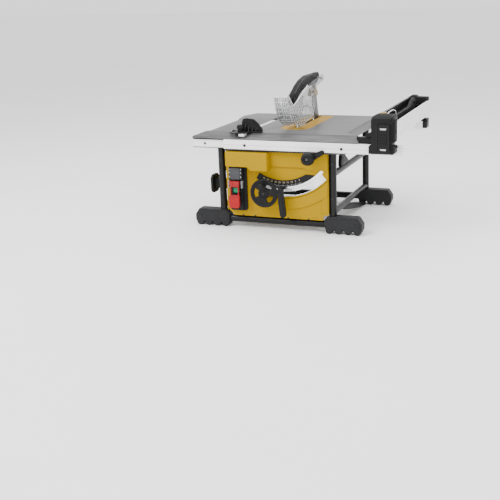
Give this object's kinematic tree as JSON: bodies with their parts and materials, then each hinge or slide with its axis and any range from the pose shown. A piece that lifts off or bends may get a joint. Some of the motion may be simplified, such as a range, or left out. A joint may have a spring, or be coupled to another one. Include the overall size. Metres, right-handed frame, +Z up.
{
  "type": "compact table saw",
  "caption": "Compact table saw on a tubular cage: tilting and rising blade, sliding rip fence rails, guard, miter gauge and hand wheel.",
  "frame": {"origin": "centre of the whole saw's bounding box, on the floor under the feet", "axes": "+X to the right along the rails, towards the rip fence; +Y from the operator to the back; +Z up"},
  "size_m": [0.743, 0.622, 0.499],
  "materials": {
    "table": "cast and ground light alloy table, satin grey",
    "aluminium": "extruded aluminium, satin",
    "black_steel": "black powder coat on steel tube",
    "charcoal": "charcoal moulded plastic",
    "yellow": "yellow powder coat on sheet steel",
    "black_plastic": "black moulded plastic",
    "steel": "turned or ground steel",
    "cast": "die-cast aluminium, as cast",
    "throat": "yellow powder coat",
    "red": "red moulded plastic",
    "green": "green moulded plastic",
    "clear": "clear polycarbonate",
    "brass_bush": "sintered bronze bush"
  },
  "bodies": {
    "chassis": {"table_top": "table", "front_rail": "aluminium", "rear_rail": "aluminium", "cage_frame": "black_steel", "foot_front_left": "charcoal", "foot_front_right": "charcoal", "foot_rear_left": "charcoal", "foot_rear_right": "charcoal", "front_panel": "yellow", "left_side_panel": "yellow", "bevel_scale": "black_plastic", "bevel_guide": "steel", "front_trunnion": "cast", "rear_trunnion": "cast", "switch_plate": "black_plastic", "cord_cleat": "black_plastic", "cord_gland": "black_plastic", "storage_hook": "black_plastic", "storage_bracket": "black_plastic"},
    "throat_plate": {"throat_plate": "throat"},
    "rails": {"sliding_front_rail": "aluminium", "sliding_rear_rail": "aluminium", "rear_rail_end_cap": "black_plastic"},
    "pinion": {"pinion_shaft": "steel", "fine_adjust_knob": "black_plastic"},
    "rail_lock": {"rail_lock_lever": "black_plastic"},
    "fence": {"fence_beam": "aluminium", "fence_tray": "black_plastic", "fence_front_latch": "black_plastic", "fence_rear_bracket": "black_plastic"},
    "fence_lever": {"fence_latch_lever": "black_plastic"},
    "push_stick": {"push_stick": "black_plastic"},
    "paddle": {"stop_paddle": "red"},
    "start": {"start_button": "green"},
    "bevel": {"bevel_carriage": "cast", "guide_column_front": "steel", "guide_column_rear": "steel"},
    "bevel_lock": {"bevel_lock_lever": "black_plastic"},
    "hand_wheel": {"hand_wheel": "black_plastic"},
    "crank_knob": {"crank_knob": "black_plastic"},
    "lift_screw": {"lift_screw": "steel"},
    "lift": {"lift_casting": "cast", "motor_housing": "black_plastic", "blade_shroud": "charcoal", "riving_knife": "steel"},
    "armature": {"motor_armature": "steel"},
    "arbor": {"arbor_shaft": "steel", "saw_blade": "steel", "arbor_flange": "steel", "arbor_nut": "steel"},
    "pawls": {"anti_kickback_pawls": "steel"},
    "guard": {"guard_arm": "black_plastic"},
    "shield_pin": {"shield_pin": "steel"},
    "right_shield": {"right_shield": "clear"},
    "left_shield": {"left_shield": "clear", "left_shield_bush": "brass_bush"},
    "miter_bar": {"miter_bar": "steel"},
    "miter_head": {"miter_head": "black_plastic"},
    "miter_knob": {"miter_knob": "black_plastic"}
  },
  "joints": [
    {"name": "throat_plate_lift", "type": "slide", "parent": "chassis", "child": "throat_plate", "axis": [0, 0, 1], "range_m": [0, 0.004]},
    {"name": "rail_slide", "type": "slide", "parent": "chassis", "child": "rails", "axis": [1, 0, 0], "range_m": [-0.118, 0.3]},
    {"name": "pinion_turn", "type": "hinge", "parent": "chassis", "child": "pinion", "pos_m": [0.0625, 0.033, 0.26], "axis": [0, 1, 0], "range_deg": [-560, 1400]},
    {"name": "rail_lock_turn", "type": "hinge", "parent": "chassis", "child": "rail_lock", "pos_m": [0.0625, 0.033, 0.26], "axis": [0, -1, 0], "range_deg": [-55, 0]},
    {"name": "fence_lift_off", "type": "slide", "parent": "rails", "child": "fence", "axis": [0, 0, 1], "range_m": [0, 0.12]},
    {"name": "fence_lever_turn", "type": "hinge", "parent": "fence", "child": "fence_lever", "pos_m": [0.2775, -0.3065, 0.298], "axis": [1, 0, 0], "range_deg": [0, 75]},
    {"name": "push_stick_lift_out", "type": "slide", "parent": "fence", "child": "push_stick", "axis": [0, 0, 1], "range_m": [0, 0.12]},
    {"name": "stop_paddle_turn", "type": "hinge", "parent": "chassis", "child": "paddle", "pos_m": [-0.2055, -0.275, 0.168], "axis": [-1, 0, 0], "range_deg": [0, 60]},
    {"name": "start_button_press", "type": "slide", "parent": "chassis", "child": "start", "axis": [0, 1, 0], "range_m": [0, 0.004], "stiffness_N_per_m": 400, "springref_m": -0.002},
    {"name": "bevel_tilt", "type": "hinge", "parent": "chassis", "child": "bevel", "pos_m": [-0.0415, 0.033, 0.333], "axis": [0, -1, 0], "range_deg": [0, 45]},
    {"name": "bevel_lock_turn", "type": "hinge", "parent": "bevel", "child": "bevel_lock", "pos_m": [-0.0365, 0.033, 0.15], "axis": [0, -1, 0], "range_deg": [0, 45]},
    {"name": "hand_wheel_turn", "type": "hinge", "parent": "bevel", "child": "hand_wheel", "pos_m": [-0.0955, 0.033, 0.136], "axis": [0, 1, 0], "range_deg": [-2710, 10]},
    {"name": "crank_knob_spin", "type": "hinge", "parent": "hand_wheel", "child": "crank_knob", "pos_m": [-0.0955, -0.297, 0.166], "axis": [0, 1, 0], "continuous": true},
    {"name": "lift_screw_turn", "type": "hinge", "parent": "bevel", "child": "lift_screw", "pos_m": [-0.0955, -0.157, 0.2], "axis": [0, 0, 1], "range_deg": [-2710, 10]},
    {"name": "blade_lift", "type": "slide", "parent": "bevel", "child": "lift", "axis": [0, 0, 1], "range_m": [-0.06, 0]},
    {"name": "arbor_spin", "type": "hinge", "parent": "lift", "child": "arbor", "pos_m": [-0.0415, 0.013, 0.293], "axis": [1, 0, 0], "continuous": true},
    {"name": "armature_spin", "type": "hinge", "parent": "lift", "child": "armature", "pos_m": [-0.0915, 0.013, 0.253], "axis": [1, 0, 0], "continuous": true},
    {"name": "pawls_turn", "type": "hinge", "parent": "lift", "child": "pawls", "pos_m": [-0.0415, 0.108, 0.44], "axis": [1, 0, 0], "range_deg": [0, 30]},
    {"name": "guard_lift_off", "type": "slide", "parent": "lift", "child": "guard", "axis": [0, 0, 1], "range_m": [0, 0.1]},
    {"name": "shield_pin_turn", "type": "hinge", "parent": "guard", "child": "shield_pin", "pos_m": [-0.0415, 0.138, 0.478], "axis": [-1, 0, 0], "range_deg": [-0.1, 30.1]},
    {"name": "right_shield_turn", "type": "hinge", "parent": "shield_pin", "child": "right_shield", "pos_m": [-0.0415, 0.138, 0.478], "axis": [-1, 0, 0], "range_deg": [0, 50]},
    {"name": "left_shield_turn", "type": "hinge", "parent": "shield_pin", "child": "left_shield", "pos_m": [-0.0415, 0.138, 0.478], "axis": [-1, 0, 0], "range_deg": [-0.1, 10.1]},
    {"name": "miter_bar_slide", "type": "slide", "parent": "chassis", "child": "miter_bar", "axis": [0, -1, 0], "range_m": [-0.37, 0.2]},
    {"name": "miter_head_turn", "type": "hinge", "parent": "miter_bar", "child": "miter_head", "pos_m": [-0.1745, -0.232, 0.3336], "axis": [0, 0, 1], "range_deg": [-60, 60]},
    {"name": "miter_knob_spin", "type": "hinge", "parent": "miter_head", "child": "miter_knob", "pos_m": [-0.1845, -0.25, 0.3378], "axis": [0, 0, 1], "continuous": true}
  ],
  "couplings": [
    {"joint": "pinion_turn", "follows": "rail_slide", "rad_per_m": 80},
    {"joint": "hand_wheel_turn", "follows": "blade_lift", "rad_per_m": 785.4},
    {"joint": "lift_screw_turn", "follows": "blade_lift", "rad_per_m": 785.4},
    {"joint": "shield_pin_turn", "follows": "blade_lift", "rad_per_m": -8.7266},
    {"joint": "left_shield_turn", "follows": "bevel_tilt", "ratio": 0.2222},
    {"joint": "armature_spin", "follows": "arbor_spin", "ratio": -2}
  ]
}
